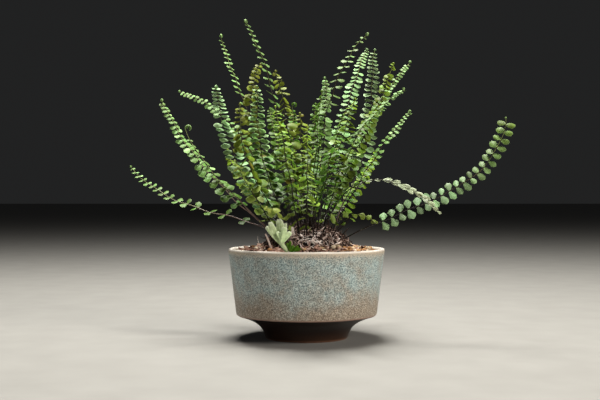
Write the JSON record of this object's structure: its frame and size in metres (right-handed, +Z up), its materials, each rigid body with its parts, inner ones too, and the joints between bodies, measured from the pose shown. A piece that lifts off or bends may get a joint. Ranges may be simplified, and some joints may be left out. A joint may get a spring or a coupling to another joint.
{
  "type": "potted maidenhair fern",
  "caption": "Small fern of pinnate fronds with fan-shaped leaflets, growing from a mound in a round glazed stoneware pot with a dark narrow foot.",
  "frame": {"origin": "on the ground under the middle of the pot's foot, which is also the middle of the whole plant's spread", "axes": "+Z up, +X to the right of the front view along the plant's widest spread, -Y towards the viewer of the picture"},
  "size_m": [0.3157, 0.2108, 0.263],
  "materials": {
    "glaze": "satin",
    "mix": "matte",
    "crown": "matte",
    "leaflet_green": "satin",
    "leaflet_silver": "satin",
    "leaflet_bronze": "satin",
    "leaflet_withered": "matte",
    "leaflet_yellow": "satin"
  },
  "bodies": {
    "root": {"pot": "glaze", "potting_mix": "mix", "rhizome_crown": "crown", "frond_01": "leaflet_green", "frond_02": "leaflet_green", "frond_03": "leaflet_green", "frond_04": "leaflet_green", "frond_05": "leaflet_silver", "frond_06": "leaflet_green", "frond_07": "leaflet_green", "frond_08": "leaflet_bronze", "frond_09": "leaflet_green", "frond_10": "leaflet_withered", "frond_11": "leaflet_green", "frond_12": "leaflet_silver", "frond_13": "leaflet_silver", "frond_14": "leaflet_green", "frond_15": "leaflet_green", "frond_16": "leaflet_green", "frond_17": "leaflet_green", "frond_18": "leaflet_green", "frond_19": "leaflet_bronze", "frond_20": "leaflet_bronze", "frond_21": "leaflet_green", "frond_22": "leaflet_bronze", "frond_23": "leaflet_green", "frond_24": "leaflet_green", "frond_25": "leaflet_green", "frond_26": "leaflet_yellow", "frond_27": "leaflet_yellow", "frond_28": "leaflet_green", "frond_29": "leaflet_green", "frond_30": "leaflet_green", "frond_31": "leaflet_green", "frond_32": "leaflet_green", "frond_33": "leaflet_green", "frond_34": "leaflet_green", "frond_35": "leaflet_green", "frond_36": "leaflet_green", "frond_37": "leaflet_green", "frond_38": "leaflet_green", "young_leaf": "leaflet_silver"}
  },
  "joints": []
}
